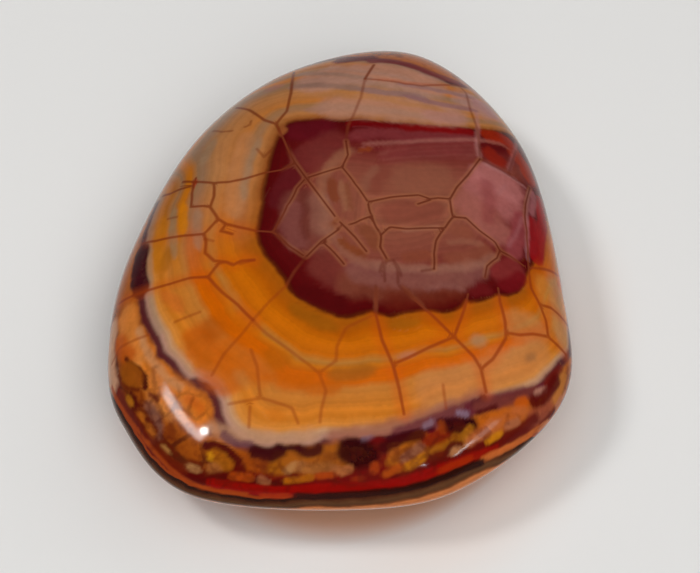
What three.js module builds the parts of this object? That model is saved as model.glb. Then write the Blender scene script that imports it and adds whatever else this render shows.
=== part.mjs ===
// A polished banded agate, ground as a free form to hold in the palm. It is one piece of stone:
// a low dome, round at the edge, drawn in underneath to the small flat spot that it rests on.
//
// Millimetres, +Z up. The flat spot lies on Z = 0 under the crown of the dome, and the outline's
// box is centred on the Z axis, with its long way along Y.

import * as THREE from "three";

// Height of the crown, and of the widest ring below it
const THICKNESS = 13;
const GIRDLE_HEIGHT = 5.4;

// Turning points of the edge seen from above, as x and y from the crown, counter-clockwise
const EDGE_POINTS = [
  [19.5, -4], [16.5, 13], [7.5, 23.5], [-4, 22], [-13, 14], [-18.5, 1.5],
  [-20, -8.5], [-18.5, -16], [-12, -23], [3.5, -24], [12, -21], [19, -13.5],
];

// Size of the flat spot, as a share of the outline
const FLAT_SHARE = 0.35;

// Fullness of the section's curve at the shoulder and at the crown, where 2 is an ellipse
const SHOULDER_FULLNESS = 2.6;
const CROWN_FULLNESS = 1.9;

// Facets round the stone, from the crown to the edge, and from the flat spot to the edge
const STEPS_AROUND = 96;
const STEPS_OVER = 22;
const STEPS_UNDER = 15;

// A quarter of the section's curve: out from 0 to 1 as the rise falls from 1 to 0
function quarter(step, steps) {
  const turn = (Math.PI / 2) * (step / steps);
  return {
    out: Math.sin(turn) ** (2 / SHOULDER_FULLNESS),
    rise: Math.cos(turn) ** (2 / CROWN_FULLNESS),
  };
}

// The section from the middle of the flat spot, out under the edge and back over the crown.
// x is a share of the way from the crown to the edge, and y is a height.
function stoneSection() {
  const points = [new THREE.Vector2(0, 0)];
  for (let step = 0; step < STEPS_UNDER; step++) {
    const { out, rise } = quarter(step, STEPS_UNDER);
    points.push(new THREE.Vector2(FLAT_SHARE + (1 - FLAT_SHARE) * out, GIRDLE_HEIGHT * (1 - rise)));
  }
  for (let step = STEPS_OVER; step >= 0; step--) {
    const { out, rise } = quarter(step, STEPS_OVER);
    const height = GIRDLE_HEIGHT + (THICKNESS - GIRDLE_HEIGHT) * (step === STEPS_OVER ? 0 : rise);
    points.push(new THREE.Vector2(out, height));
  }
  return points;
}

// The edge seen from above: a smooth closed curve through its turning points
function stoneOutline() {
  const points = EDGE_POINTS.map(([x, y]) => new THREE.Vector3(x, y, 0));
  return new THREE.CatmullRomCurve3(points, true, "catmullrom");
}

// The section turned once round the axis, with each of its columns drawn out to the outline
function stoneGeometry() {
  const section = stoneSection();
  const outline = stoneOutline();
  const geometry = new THREE.LatheGeometry(section, STEPS_AROUND);
  const position = geometry.attributes.position;
  for (let column = 0; column <= STEPS_AROUND; column++) {
    const edge = outline.getPoint((column % STEPS_AROUND) / STEPS_AROUND);
    section.forEach((point, row) => {
      position.setXYZ(column * section.length + row, point.x * edge.x, point.x * edge.y, point.y);
    });
  }
  geometry.computeBoundingBox();
  const middle = geometry.boundingBox.getCenter(new THREE.Vector3());
  geometry.translate(-middle.x, -middle.y, 0);
  geometry.computeVertexNormals();
  return geometry;
}

const polishedAgate = new THREE.MeshStandardMaterial({ color: 0x8a4a2c, roughness: 0.12, metalness: 0 });

const stone = new THREE.Mesh(stoneGeometry(), polishedAgate);
stone.name = "agate";

const specimen = new THREE.Group();
specimen.add(stone);

export default specimen;
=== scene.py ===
# %% [markdown]
# A polished, crackled agate
#
# This lesson finishes one stone: a banded agate, heated until a net of fine cracks ran through it, and
# polished as a palm stone. The packed model gives its size and shape. Everything that the lesson adds is
# the polish and what the stone looks like inside: the dark heart, the bands round it, the crust and the
# cracks.

# %% The packed stone
import math
import bpy
import numpy as np
from mathutils import Euler, Matrix, Vector
from mathutils.bvhtree import BVHTree


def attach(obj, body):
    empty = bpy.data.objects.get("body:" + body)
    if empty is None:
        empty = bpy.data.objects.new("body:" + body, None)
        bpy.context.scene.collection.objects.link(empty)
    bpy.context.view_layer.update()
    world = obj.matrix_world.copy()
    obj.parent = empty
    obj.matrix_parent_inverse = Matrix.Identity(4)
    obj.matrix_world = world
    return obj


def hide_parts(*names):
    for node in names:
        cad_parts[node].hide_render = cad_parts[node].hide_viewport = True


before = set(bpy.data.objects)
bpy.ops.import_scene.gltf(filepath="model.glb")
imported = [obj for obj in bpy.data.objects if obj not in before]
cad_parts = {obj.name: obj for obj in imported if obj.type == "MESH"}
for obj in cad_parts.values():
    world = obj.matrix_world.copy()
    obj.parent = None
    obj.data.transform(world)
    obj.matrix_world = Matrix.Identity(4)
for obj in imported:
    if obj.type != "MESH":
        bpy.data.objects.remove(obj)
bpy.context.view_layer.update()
STONE = "agate"
MM = 0.001

# %% [markdown]
# Reading the form from the frame
#
# The stone is one section drawn out to one outline, so a few measures say all of it: the crown of the
# dome, the ring round its widest part, the flat spot underneath and the thickness. They are read from the
# packed model, and only the fullness of the section's curve is given here, because it is a choice.

# %% Measures of the form
SHOULDER_FULLNESS = 2.6
CROWN_FULLNESS = 1.9
SAME_HEIGHT = 0.001 * MM


def corners_of(mesh):
    """The mesh's corners as rows of x, y and z."""
    rows = np.empty(len(mesh.vertices) * 3)
    mesh.vertices.foreach_get("co", rows)
    return rows.reshape(-1, 3)


packed = corners_of(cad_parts[STONE].data)
crown = packed[packed[:, 2].argmax()]
thickness = crown[2]
girdle = packed[np.abs(packed[:, 1]).argmax(), 2]


def ring_at(height):
    """The packed corners at one height, in order round the crown, each once."""
    ring = packed[np.abs(packed[:, 2] - height) < SAME_HEIGHT]
    turn = np.arctan2(ring[:, 1] - crown[1], ring[:, 0] - crown[0]).round(5)
    turn, first = np.unique(turn, return_index=True)
    return ring[first], turn


edge_ring, edge_turn = ring_at(girdle)
edge_reach = np.hypot(edge_ring[:, 0] - crown[0], edge_ring[:, 1] - crown[1])
flat_ring, _ = ring_at(0.0)
flat_share = np.hypot(flat_ring[:, 0] - crown[0], flat_ring[:, 1] - crown[1]).max() / edge_reach.max()
print("thickness", thickness, "girdle height", girdle)
print("edge points", len(edge_ring), "flat share", flat_share)

# %% [markdown]
# A map of the surface
#
# Bands and cracks are placed on a round map, as a globe is: the crown is its middle, the widest ring is the
# circle of radius 1, and the flat spot's middle is the rim of radius 2. A place on the map has one place on
# the stone, so a line drawn across the edge goes on underneath, where the photograph doesn't reach.


# %% From the stone to the map and back
def reach_at(turn):
    """Distance from the crown to the edge, in the direction turn."""
    return np.interp(turn, edge_turn, edge_reach, period=2 * math.pi)


def to_map(on_stone):
    """Places on the stone as places on the map."""
    offset = on_stone[:, :2] - crown[:2]
    turn = np.arctan2(offset[:, 1], offset[:, 0])
    share = np.clip(np.hypot(offset[:, 0], offset[:, 1]) / reach_at(turn), 0, 1)
    way = np.where(on_stone[:, 2] >= girdle, share, 2 - share)
    return np.stack([way * np.cos(turn), way * np.sin(turn)], axis=-1)


def from_map(on_map):
    """Places on the map as places on the stone."""
    turn = np.arctan2(on_map[:, 1], on_map[:, 0])
    way = np.clip(np.hypot(on_map[:, 0], on_map[:, 1]), 0, 2)
    share = np.where(way <= 1, way, 2 - way)
    lower = np.clip((share - flat_share) / (1 - flat_share), 0, 1)
    over = girdle + (thickness - girdle) * (1 - share**SHOULDER_FULLNESS) ** (1 / CROWN_FULLNESS)
    under = girdle - girdle * (1 - lower**SHOULDER_FULLNESS) ** (1 / CROWN_FULLNESS)
    out = share * reach_at(turn)
    height = np.where(way <= 1, over, under)
    return np.stack([crown[0] + out * np.cos(turn), crown[1] + out * np.sin(turn), height], axis=-1)


trial = np.array([(0.0, 0.5), (-0.9, 0.3), (0.6, -1.1)])
print("to the stone and back, off by", np.abs(to_map(from_map(trial)) - trial).max())

# %% [markdown]
# The camera
#
# The photograph looks down at about 55 degrees with a long lens. The outline of the packed stone, seen
# from here, falls on the outline in the photograph.

# %% Camera
WIDE, TALL = 700, 573
ELEVATION = math.radians(55)
LENS_MM, SENSOR_MM = 120, 36
CAMERA_DISTANCE = 204 * MM
AIM = Vector((0.85, -2.42, 6.0)) * MM
PIXELS_PER_UNIT = LENS_MM / SENSOR_MM * WIDE

camera_data = bpy.data.cameras.new("camera")
camera_data.lens = LENS_MM
camera_data.sensor_width = SENSOR_MM
camera_data.clip_start = 1 * MM
camera = bpy.data.objects.new("camera", camera_data)
bpy.context.scene.collection.objects.link(camera)
camera.rotation_euler = Euler((math.pi / 2 - ELEVATION, 0, 0))
camera_turn = camera.rotation_euler.to_matrix()
camera.location = AIM + camera_turn @ Vector((0, 0, CAMERA_DISTANCE))
bpy.context.scene.camera = camera
print("camera at", tuple(round(c, 4) for c in camera.location))

# %% [markdown]
# Marks read from the photograph
#
# The heart, the purple line, the edge of the grey band of painted shade underneath and every crack are
# lines. Each turning point is a pixel of the photograph, and a ray through that pixel finds its place on
# the stone. Turning points that the photograph doesn't show are given on the map instead, as a direction in
# degrees and a way out.

# %% Turning points on the map
PHOTO_MIDDLE = np.array([335.0, 290.0])
HEART_MIDDLE = (400, 215)
PIXELS_INWARD = 1.5
packed_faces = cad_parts[STONE].data.polygons
stone_tree = BVHTree.FromPolygons(
    [Vector(corner) for corner in packed],
    [tuple(face.vertices) for face in packed_faces],
)


def seen(pixels):
    """Pixels of the photograph as places on the map. One just off the stone is drawn in to its edge."""
    found = []
    for pixel in pixels:
        pixel = np.array(pixel, dtype=float)
        hit = None
        while hit is None:
            ray = Vector((pixel[0] - WIDE / 2, TALL / 2 - pixel[1], -PIXELS_PER_UNIT))
            hit = stone_tree.ray_cast(camera.location, camera_turn @ ray)[0]
            to_middle = PHOTO_MIDDLE - pixel
            pixel += PIXELS_INWARD * to_middle / np.linalg.norm(to_middle)
        found.append(hit)
    return to_map(np.array(found))


def hidden(turns_and_ways):
    """Directions in degrees and ways out, as places on the map."""
    turn, way = np.array(turns_and_ways, dtype=float).T
    turn = np.radians(turn)
    return np.stack([way * np.cos(turn), way * np.sin(turn)], axis=-1)


print("the heart's middle on the map", seen([HEART_MIDDLE]).round(2))

# %% [markdown]
# Lines on the stone
#
# A line between two turning points is cut into short steps on the map, because the map knows how the
# stone is rounded: each step's ends lie on the surface, and so does the line.

# %% Fine lines
MAP_STEP = 0.012


def fine_line(turning_points, closed=False):
    """A line on the map with a place about every quarter of a millimetre."""
    if closed:
        turning_points = np.vstack([turning_points, turning_points[:1]])
    pieces = []
    for start, end in zip(turning_points[:-1], turning_points[1:]):
        count = max(1, round(np.linalg.norm(end - start) / MAP_STEP))
        share = np.arange(count)[:, None] / count
        pieces.append(start + (end - start) * share)
    return np.vstack(pieces + [turning_points[-1:]])


def line_object(name, lines):
    """Lines on the map as one object of edges on the stone."""
    on_stone, edges = [], []
    for line in lines:
        first = len(on_stone)
        on_stone.extend(from_map(line).tolist())
        edges.extend((k, k + 1) for k in range(first, len(on_stone) - 1))
    mesh = bpy.data.meshes.new(name)
    mesh.from_pydata(on_stone, edges, [])
    made = bpy.data.objects.new(name, mesh)
    bpy.context.scene.collection.objects.link(made)
    return made


print("places on a line from the crown to the edge", len(fine_line(np.array([(0.0, 0.0), (1.0, 0.0)]))))

# %% [markdown]
# Three edges
#
# An agate fills its hollow from the wall inwards, so its layers are closed shells inside each other. Cut
# and polished, two of their edges stand out: the dark heart, and the purple line that ends the bands. The
# third edge is that of a grey band underneath, which is painted shade and the reflection of the shaded
# floor.

# %% Edge of the heart
HEART_SEEN = [
    (545, 222), (541, 243), (537, 258), (531, 268), (527, 276), (524, 285), (517, 293), (508, 296),
    (497, 295), (484, 300), (470, 302), (466, 300), (461, 306), (453, 310), (441, 312), (422, 311),
    (407, 313), (390, 316), (378, 314), (372, 311), (357, 314), (346, 317), (338, 316), (319, 307),
    (313, 304), (299, 298), (291, 290), (286, 279), (276, 266), (266, 256), (259, 244), (257, 233),
    (259, 222), (262, 206), (263, 189), (266, 176), (269, 162), (274, 145), (281, 130), (288, 123),
    (298, 120), (322, 119), (340, 120), (377, 122), (415, 125), (442, 127), (465, 128), (491, 131),
    (508, 134), (517, 139), (523, 147),
]
HEART_HIDDEN = [(38, 1.03), (28, 1.05), (18, 1.02)]
heart_edge = fine_line(np.vstack([seen(HEART_SEEN), hidden(HEART_HIDDEN)]), closed=True)
print("places round the heart", len(heart_edge))

# %% The purple line
PURPLE_SEEN = [
    (336, 57), (352, 58), (376, 60), (401, 64), (415, 68), (426, 73), (438, 78), (451, 83), (464, 86),
]
PURPLE_RIGHT_HIDDEN = [(55, 1.06), (40, 1.12), (20, 1.14), (5, 1.12), (-5, 1.06)]
PURPLE_FRONT_SEEN = [
    (570, 353), (558, 367), (549, 378), (541, 388), (530, 393), (516, 397), (503, 401), (491, 403),
    (478, 407), (466, 414), (453, 413), (442, 416), (430, 427), (415, 431), (399, 435), (388, 438),
    (376, 441), (357, 442), (338, 443), (325, 443), (311, 450), (301, 450), (290, 448), (279, 451),
    (269, 453), (256, 451), (244, 446), (236, 441), (227, 434), (222, 426), (218, 416), (217, 409),
    (215, 400), (211, 391), (204, 386), (195, 383), (186, 383), (179, 373), (170, 362), (161, 353),
    (156, 339), (150, 328), (147, 321), (142, 307), (141, 296), (140, 286), (137, 277), (138, 261),
    (142, 250), (146, 231), (151, 216), (157, 204),
]
PURPLE_LEFT_HIDDEN = [(160, 1.02), (145, 1.06), (125, 1.06), (110, 1.02)]
purple_edge = fine_line(
    np.vstack([
        seen(PURPLE_SEEN), hidden(PURPLE_RIGHT_HIDDEN), seen(PURPLE_FRONT_SEEN), hidden(PURPLE_LEFT_HIDDEN),
    ]),
    closed=True,
)
print("places along the purple line", len(purple_edge))

# %% Edge of the grey band of painted shade underneath
SHADE_BAND_SEEN = [
    (549, 422), (535, 436), (520, 445), (501, 453), (480, 458), (463, 466), (438, 478), (415, 485),
    (386, 492), (363, 494), (338, 496), (322, 495), (304, 496), (283, 500), (261, 500), (240, 497),
    (222, 495), (206, 491), (190, 486), (176, 479), (161, 468), (149, 455), (136, 437), (126, 420),
    (117, 405), (111, 391),
]
SHADE_BAND_HIDDEN = [
    (195, 1.12), (180, 1.2), (165, 1.24), (145, 1.2), (125, 1.26), (105, 1.22), (85, 1.2), (65, 1.27),
    (45, 1.24), (25, 1.2), (5, 1.26), (-12, 1.2), (-25, 1.1),
]
shade_band_edge = fine_line(np.vstack([seen(SHADE_BAND_SEEN), hidden(SHADE_BAND_HIDDEN)]), closed=True)
print("places round the skin", len(shade_band_edge))

# %% [markdown]
# The net of cracks
#
# Heat made the cracks: the outside cooled first and tore into cells about 4 to 5 mm across, as mud does.
# Three cracks meet at most corners. Dye or iron then ran into them. The strong ones are traced one by one,
# and the fainter ones, which lie under the polish, are kept apart so that they can be drawn more softly.

# %% Cracks at the upper left
UPPER_LEFT_CRACKS = [
    [(294, 72), (291, 93), (287, 111), (276, 124), (283, 138), (290, 154), (295, 163), (306, 178)],
    [(276, 124), (264, 120), (249, 110), (236, 108)],
    [(295, 163), (281, 170), (264, 173), (244, 179), (229, 182), (214, 183), (196, 182), (183, 182)],
    [(196, 178), (194, 183), (192, 193), (191, 207), (204, 206), (210, 207), (218, 219)],
    [(193, 186), (181, 189), (170, 194), (163, 196)],
    [(214, 184), (214, 196), (210, 207)],
    [(218, 219), (226, 224), (238, 227), (256, 231), (273, 232)],
    [(218, 219), (209, 229), (204, 234), (193, 235), (175, 237), (156, 241), (142, 244)],
    [(226, 224), (221, 231), (232, 234)],
    [(204, 234), (206, 242), (205, 253), (214, 261), (226, 262), (233, 265), (241, 261), (254, 260)],
    [(226, 262), (219, 263), (208, 277), (190, 278), (170, 284), (156, 288), (138, 294), (119, 304)],
    [(208, 277), (223, 293), (238, 305), (253, 320)],
]
print("cracks at the upper left", len(UPPER_LEFT_CRACKS))

# %% Cracks across the heart
HEART_CRACKS = [
    [(306, 178), (297, 188), (287, 206), (273, 232), (289, 246), (306, 257)],
    [(306, 178), (322, 199), (334, 215), (344, 226), (357, 222), (372, 216)],
    [(306, 257), (322, 241), (344, 226)],
    [(322, 241), (344, 264)],
    [(306, 178), (322, 173), (342, 167), (355, 184), (368, 202), (372, 216), (376, 227), (381, 235),
     (380, 247), (387, 259)],
    [(342, 167), (348, 155), (346, 141)],
    [(365, 79), (374, 65)],
    [(480, 159), (468, 175), (457, 187), (450, 199), (453, 217), (445, 228), (436, 241), (434, 254),
     (434, 269)],
    [(450, 199), (438, 198), (430, 199), (419, 195), (392, 197), (368, 202)],
    [(430, 200), (418, 204)],
    [(344, 226), (355, 237), (367, 252)],
    [(381, 235), (390, 227), (407, 229), (430, 228), (443, 228)],
    [(453, 217), (466, 218), (480, 231), (495, 242), (500, 251), (497, 258), (487, 266), (485, 277)],
    [(500, 251), (510, 256), (524, 266)],
    [(530, 188), (526, 203), (525, 216), (527, 231), (528, 250), (529, 271), (531, 288), (540, 305),
     (546, 321), (548, 337), (533, 334), (520, 335), (507, 333)],
]
print("cracks across the heart", len(HEART_CRACKS))

# %% Cracks at the lower right
LOWER_RIGHT_CRACKS = [
    [(531, 268), (547, 270), (558, 276)],
    [(540, 305), (551, 308), (568, 327)],
    [(548, 337), (558, 346), (566, 355)],
    [(498, 288), (500, 302), (505, 321), (506, 338), (493, 359), (481, 369), (486, 392)],
    [(468, 294), (463, 313), (454, 337), (434, 317), (415, 300)],
    [(454, 337), (474, 357), (481, 369)],
    [(454, 337), (428, 348), (396, 363)],
    [(376, 315), (382, 340), (393, 365), (399, 388), (404, 414)],
]
print("cracks at the lower right", len(LOWER_RIGHT_CRACKS))

# %% Faint cracks
FAINT_CRACKS = [
    [(254, 260), (240, 264)],
    [(253, 320), (269, 302), (286, 286), (294, 272), (306, 257)],
    [(253, 320), (242, 334), (224, 354), (212, 375)],
    [(253, 320), (277, 341), (301, 359), (319, 373), (326, 391), (321, 411), (320, 422)],
    [(319, 373), (336, 361), (337, 346), (346, 328), (371, 316)],
    [(251, 350), (257, 366), (260, 395)],
    [(229, 404), (261, 398), (292, 408), (298, 423)],
    [(250, 407), (249, 427)],
    [(120, 348), (149, 335)],
    [(120, 348), (112, 364)],
    [(175, 322), (200, 312)],
    [(346, 141), (348, 126), (354, 114), (361, 97), (365, 79), (386, 81), (405, 84), (422, 86), (442, 85),
     (459, 86), (466, 93), (470, 109), (477, 128), (479, 143), (480, 159), (503, 171), (516, 180),
     (530, 188)],
    [(516, 151), (509, 172)],
    [(434, 269), (422, 271)],
    [(399, 286), (415, 300)],
    [(376, 286), (376, 315)],
    [(383, 262), (393, 260), (399, 268), (401, 276)],
    [(393, 260), (398, 270), (398, 283)],
    [(387, 259), (384, 268), (385, 281)],
    [(387, 259), (381, 266), (380, 272)],
    [(443, 385), (446, 408)],
    [(213, 131), (222, 132), (232, 131)],
    [(245, 127), (250, 125), (251, 121)],
    [(257, 149), (264, 157), (271, 150)],
    [(205, 239), (213, 241)],
    [(168, 219), (177, 217)],
]
crack_lines = [fine_line(seen(line)) for line in UPPER_LEFT_CRACKS + HEART_CRACKS + LOWER_RIGHT_CRACKS]
faint_crack_lines = [fine_line(seen(line)) for line in FAINT_CRACKS]
print("cracks", len(crack_lines), "faint cracks", len(faint_crack_lines))

# %% [markdown]
# Sums that add nodes
#
# The stone's form and its colours are both worked out by nodes. Written one by one, their links hide the
# sum, so a small class wraps a socket: an expression on such wires adds the Math nodes that work it out.


# %% Wires
class Wire:
    """A number or vector in a node tree. Sums of wires add the nodes that work them out."""

    def __init__(self, tree, socket):
        self.tree = tree
        self.socket = socket

    def sum_with(self, operation, *parts):
        return do_sum(self.tree, operation, *parts)

    def __add__(self, other):
        return self.sum_with("ADD", self, other)

    def __radd__(self, other):
        return self.sum_with("ADD", other, self)

    def __sub__(self, other):
        return self.sum_with("SUBTRACT", self, other)

    def __rsub__(self, other):
        return self.sum_with("SUBTRACT", other, self)

    def __mul__(self, other):
        return self.sum_with("MULTIPLY", self, other)

    def __rmul__(self, other):
        return self.sum_with("MULTIPLY", other, self)

    def __truediv__(self, other):
        return self.sum_with("DIVIDE", self, other)

    def __rtruediv__(self, other):
        return self.sum_with("DIVIDE", other, self)

    def __pow__(self, other):
        return self.sum_with("POWER", self, other)

    def at_least(self, other):
        return self.sum_with("MAXIMUM", self, other)

    def at_most(self, other):
        return self.sum_with("MINIMUM", self, other)

    def size(self):
        return self.sum_with("ABSOLUTE", self)

    def sine(self):
        return self.sum_with("SINE", self)

    def cosine(self):
        return self.sum_with("COSINE", self)


print("sums of a wire", [name for name in vars(Wire) if callable(getattr(Wire, name))])

# %% [markdown]
# Nodes from one helper
#
# Every other node comes from one helper, which takes the node's type, its settings, and the values or wires
# of its sockets. The settings go first, because they decide which sockets the node has. A short trial shows
# what a sum leaves behind: one Math node for each sign in it.


# %% Nodes
def feed(tree, socket, value):
    """Sets a socket to a value, or joins a wire to it."""
    if isinstance(value, Wire):
        tree.links.new(value.socket, socket)
    else:
        socket.default_value = value


def add_node(tree, kind, settings=None, values=None):
    """A node with its settings first, and then its sockets' values or wires by name or number."""
    node = tree.nodes.new(kind)
    for name, value in (settings or {}).items():
        setattr(node, name, value)
    for name, value in (values or {}).items():
        feed(tree, node.inputs[name], value)
    return node


def do_sum(tree, operation, *parts):
    """One Math node."""
    node = add_node(tree, "ShaderNodeMath", {"operation": operation}, dict(enumerate(parts)))
    return Wire(tree, node.outputs[0])


def output(node, name=0):
    """A node's output as a wire."""
    return Wire(node.id_data, node.outputs[name])


def parts_of(tree, vector):
    """A vector's three parts, as outputs named X, Y and Z."""
    return add_node(tree, "ShaderNodeSeparateXYZ", values={0: vector})


sum_trial = bpy.data.node_groups.new("sum trial", "ShaderNodeTree")
one_wire = output(add_node(sum_trial, "ShaderNodeValue"))
sum_wire = 1 - one_wire * 2
print("1 - one_wire * 2 leaves by", sum_wire.socket.name, "and the tree has", len(sum_trial.nodes), "nodes")
bpy.data.node_groups.remove(sum_trial)

# %% [markdown]
# The polished form
#
# The stone could be the packed mesh made smoother, but its facets would still show in the polish. So a
# node tree turns the section round the outline again, as finely as is wanted: a flat grid of columns and
# rows is bent so that each column runs from the flat spot, out under the edge and over to the crown.

# %% The tree and its inputs
MARK_NAMES = ("heart", "purple line", "skin", "crack", "faint crack")
FORM_INPUTS = {
    "Outline": "NodeSocketObject", "Crown": "NodeSocketVector", "Thickness": "NodeSocketFloat",
    "Girdle Height": "NodeSocketFloat", "Flat Share": "NodeSocketFloat",
    "Columns": "NodeSocketInt", "Rows": "NodeSocketInt",
    **dict.fromkeys(MARK_NAMES, "NodeSocketObject"),
    "Material": "NodeSocketMaterial",
}
form = bpy.data.node_groups.new("polished form", "GeometryNodeTree")
form.interface.new_socket("Geometry", in_out="OUTPUT", socket_type="NodeSocketGeometry")
for name, kind in FORM_INPUTS.items():
    form.interface.new_socket(name, in_out="INPUT", socket_type=kind)
given = add_node(form, "NodeGroupInput")
print("inputs of the form", list(FORM_INPUTS))

# %% The section
# the share of the rows on the flat spot, and on the flat spot and the underside together
FLAT_ROWS, UNDER_ROWS = 0.05, 0.38
QUARTER_TURN = math.pi / 2
grid = add_node(form, "GeometryNodeMeshGrid", values={
    "Size X": 1.0, "Size Y": 1.0,
    "Vertices X": output(given, "Columns"), "Vertices Y": output(given, "Rows"),
})
grid_place = parts_of(form, output(add_node(form, "GeometryNodeInputPosition")))
around = output(grid_place, "X") + 0.5
along = output(grid_place, "Y") + 0.5
flat_part = (along / FLAT_ROWS).at_most(1.0)
under_turn = ((along - FLAT_ROWS) / (UNDER_ROWS - FLAT_ROWS)).at_least(0.0).at_most(1.0) * QUARTER_TURN
over_turn = ((1.0 - along) / (1.0 - UNDER_ROWS)).at_least(0.0).at_most(1.0) * QUARTER_TURN
flat = output(given, "Flat Share")
under_out = flat_part * flat + (1.0 - flat) * under_turn.sine().at_least(0.0) ** (2 / SHOULDER_FULLNESS)
over_out = over_turn.sine().at_least(0.0) ** (2 / SHOULDER_FULLNESS)
share_out = under_out + over_out - 1.0
low = output(given, "Girdle Height")
under_rise = 1.0 - under_turn.cosine().at_least(0.0) ** (2 / CROWN_FULLNESS)
over_rise = over_turn.cosine().at_least(0.0) ** (2 / CROWN_FULLNESS)
height = low * under_rise + (output(given, "Thickness") - low) * over_rise
print("nodes with the section", len(form.nodes))

# %% [markdown]
# Out to the outline
#
# Each column is drawn out from the crown to its own point of the outline, which is a smooth closed curve
# through the packed ring. Where the grid's two sides meet, and at the crown and under the stone, corners
# fall together, so they are merged and the form is closed.

# %% Columns drawn out to the outline
MERGE_WITHIN = 0.0005 * MM
ring = add_node(form, "GeometryNodeObjectInfo", values={"Object": output(given, "Outline")})
smooth_ring = add_node(form, "GeometryNodeCurveSplineType", {"spline_type": "CATMULL_ROM"}, {
    "Curve": output(ring, "Geometry"),
})
ring_point = add_node(form, "GeometryNodeSampleCurve", {"mode": "FACTOR"}, {
    "Curves": output(smooth_ring), "Factor": around,
})
rim = parts_of(form, output(ring_point, "Position"))
middle = parts_of(form, output(given, "Crown"))
drawn_out = add_node(form, "ShaderNodeCombineXYZ", values={
    "X": output(middle, "X") + (output(rim, "X") - output(middle, "X")) * share_out,
    "Y": output(middle, "Y") + (output(rim, "Y") - output(middle, "Y")) * share_out,
    "Z": height,
})
bent = add_node(form, "GeometryNodeSetPosition", values={
    "Geometry": output(grid, "Mesh"), "Position": output(drawn_out),
})
with_uv = add_node(form, "GeometryNodeStoreNamedAttribute", {"data_type": "FLOAT2", "domain": "CORNER"}, {
    "Geometry": output(bent), "Name": "UVMap", "Value": output(grid, "UV Map"),
})
closed = add_node(form, "GeometryNodeMergeByDistance", values={
    "Geometry": output(with_uv), "Distance": MERGE_WITHIN,
})
print("nodes with the outline", len(form.nodes))

# %% [markdown]
# The way to each mark
#
# A crack is thinner than the mesh is fine, so colours stored at corners would blur it. Each corner stores
# the way to the nearest place of each kind of mark instead. Between corners that way changes evenly, so
# the shader gets a sharp line from it.


# %% Ways to the marks
def keep_vector(geometry, name, vector):
    """Stores a vector at each corner, under this name."""
    kind = {"data_type": "FLOAT_VECTOR", "domain": "POINT"}
    return add_node(form, "GeometryNodeStoreNamedAttribute", kind, {
        "Geometry": output(geometry), "Name": name, "Value": vector,
    })


WOBBLE_SIZE = 1.1 * MM
here = add_node(form, "GeometryNodeInputPosition")
last = closed
for name in MARK_NAMES:
    mark = add_node(form, "GeometryNodeObjectInfo", values={"Object": output(given, name)})
    nearest = add_node(form, "GeometryNodeProximity", {"target_element": "EDGES"}, {
        0: output(mark, "Geometry"),
    })
    way_there = add_node(form, "ShaderNodeVectorMath", {"operation": "SUBTRACT"}, {
        0: output(nearest, "Position"), 1: output(here),
    })
    last = keep_vector(last, "to " + name, output(way_there))
grain = add_node(form, "ShaderNodeTexNoise", values={"Scale": 1 / WOBBLE_SIZE, "Detail": 3.0})
last = keep_vector(last, "wobble", output(grain, "Color"))
smooth = add_node(form, "GeometryNodeSetShadeSmooth", values={0: output(last)})
whole = add_node(form, "GeometryNodeRealizeInstances", values={0: output(smooth)})
finished = add_node(form, "GeometryNodeSetMaterial", values={
    "Geometry": output(whole), "Material": output(given, "Material"),
})
add_node(form, "NodeGroupOutput", values={"Geometry": output(finished)})
print("nodes of the form", len(form.nodes))

# %% [markdown]
# Growing the stone
#
# The tree is used once. It gets the outline as a closed curve through the packed ring, and the marks as
# objects of edges. The result is taken as a plain mesh, and the helpers are thrown away.


# %% The stone's fine mesh
def outline_object():
    """The outline as a closed curve through the packed ring."""
    data = bpy.data.curves.new("outline", "CURVE")
    data.dimensions = "3D"
    spline = data.splines.new("POLY")
    spline.points.add(len(edge_ring) - 1)
    for point, rim_place in zip(spline.points, edge_ring):
        point.co = (*rim_place, 1.0)
    spline.use_cyclic_u = True
    made = bpy.data.objects.new("outline", data)
    bpy.context.scene.collection.objects.link(made)
    return made


def apply_tree(tree, inputs):
    """The mesh that a node tree makes with these inputs, given by name."""
    holder = bpy.data.objects.new("holder", bpy.data.meshes.new("holder"))
    bpy.context.scene.collection.objects.link(holder)
    modifier = holder.modifiers.new("tree", "NODES")
    modifier.node_group = tree
    for socket in tree.interface.items_tree:
        if socket.name in inputs:
            modifier[socket.identifier] = inputs[socket.name]
    solved = holder.evaluated_get(bpy.context.evaluated_depsgraph_get())
    mesh = bpy.data.meshes.new_from_object(solved)
    holder.modifiers.clear()
    bpy.data.objects.remove(holder)
    return mesh


COLUMNS, ROWS = 501, 195
marks = dict(zip(MARK_NAMES, (
    line_object("heart edge", [heart_edge]),
    line_object("purple edge", [purple_edge]),
    line_object("skin edge", [shade_band_edge]),
    line_object("cracks", crack_lines),
    line_object("faint cracks", faint_crack_lines),
)))
outline = outline_object()
polish = bpy.data.materials.new("polished_agate")
stone_mesh = apply_tree(form, {
    "Outline": outline, "Crown": tuple(crown), "Thickness": float(thickness),
    "Girdle Height": float(girdle), "Flat Share": float(flat_share),
    "Columns": COLUMNS, "Rows": ROWS, "Material": polish, **marks,
})
stone_mesh.name = "agate_stone"
stone = bpy.data.objects.new("agate_stone", stone_mesh)
bpy.context.scene.collection.objects.link(stone)
for helper in (outline, *marks.values()):
    bpy.data.objects.remove(helper)
places = corners_of(stone_mesh)
print("corners", len(places), "faces", len(stone_mesh.polygons))
print("box in mm", (places.max(0) - places.min(0)) / MM)

# %% [markdown]
# How far each place is from the shells
#
# A distance with a sign says on which side of a shell's edge a place lies: inside is less than zero. The
# colours below are built on three of them, so a band keeps its width as it goes round the heart.


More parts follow.
